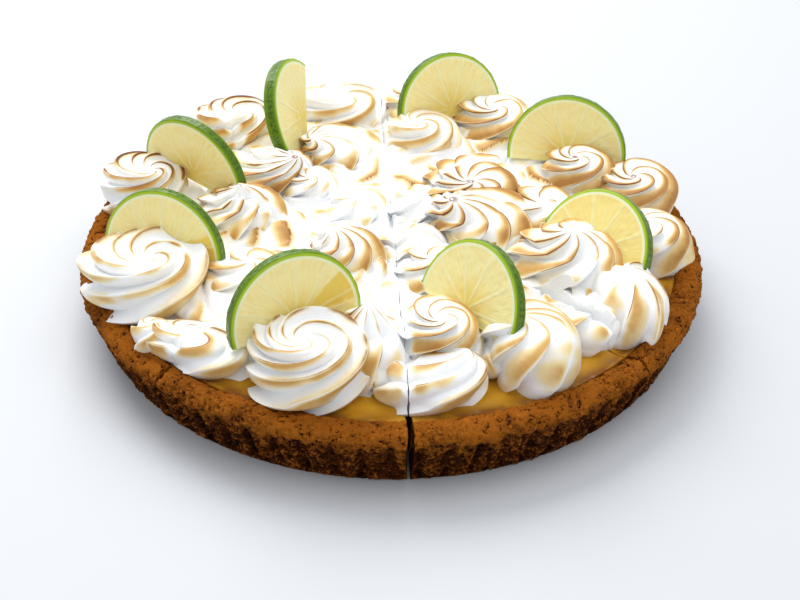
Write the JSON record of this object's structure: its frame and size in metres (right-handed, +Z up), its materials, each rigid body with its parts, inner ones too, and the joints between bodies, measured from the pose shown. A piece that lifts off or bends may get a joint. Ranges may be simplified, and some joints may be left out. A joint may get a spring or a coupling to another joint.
{
  "type": "key lime pie",
  "caption": "Round key lime pie with a fluted biscuit crust, lime curd filling, toasted piped meringue rosettes and lime half wheels, cut into wedges that stand together.",
  "frame": {"origin": "middle of the underside, where the pie stands", "axes": "+Z up through the middle of the pie, -Y towards the open cut at the front"},
  "size_m": [0.2598, 0.2598, 0.0724],
  "materials": {
    "crust": "matt, dry and crumbly baked biscuit",
    "filling": "smooth set curd with a soft gloss",
    "meringue": "silky whipped egg white, toasted tan to dark brown along its ridges",
    "lime": "wet pulp with a waxy green rind"
  },
  "bodies": {
    "root": {"crust_1": "crust", "filling_1": "filling", "meringue_1": "meringue", "lime_1": "lime", "crust_2": "crust", "filling_2": "filling", "meringue_2": "meringue", "lime_2": "lime", "crust_3": "crust", "filling_3": "filling", "meringue_3": "meringue", "lime_3": "lime", "crust_4": "crust", "filling_4": "filling", "meringue_4": "meringue", "lime_4": "lime", "crust_5": "crust", "filling_5": "filling", "meringue_5": "meringue", "lime_5": "lime", "crust_6": "crust", "filling_6": "filling", "meringue_6": "meringue", "lime_6": "lime", "crust_7": "crust", "filling_7": "filling", "meringue_7": "meringue", "lime_7": "lime", "crust_8": "crust", "filling_8": "filling", "meringue_8": "meringue", "lime_8": "lime"}
  },
  "joints": []
}
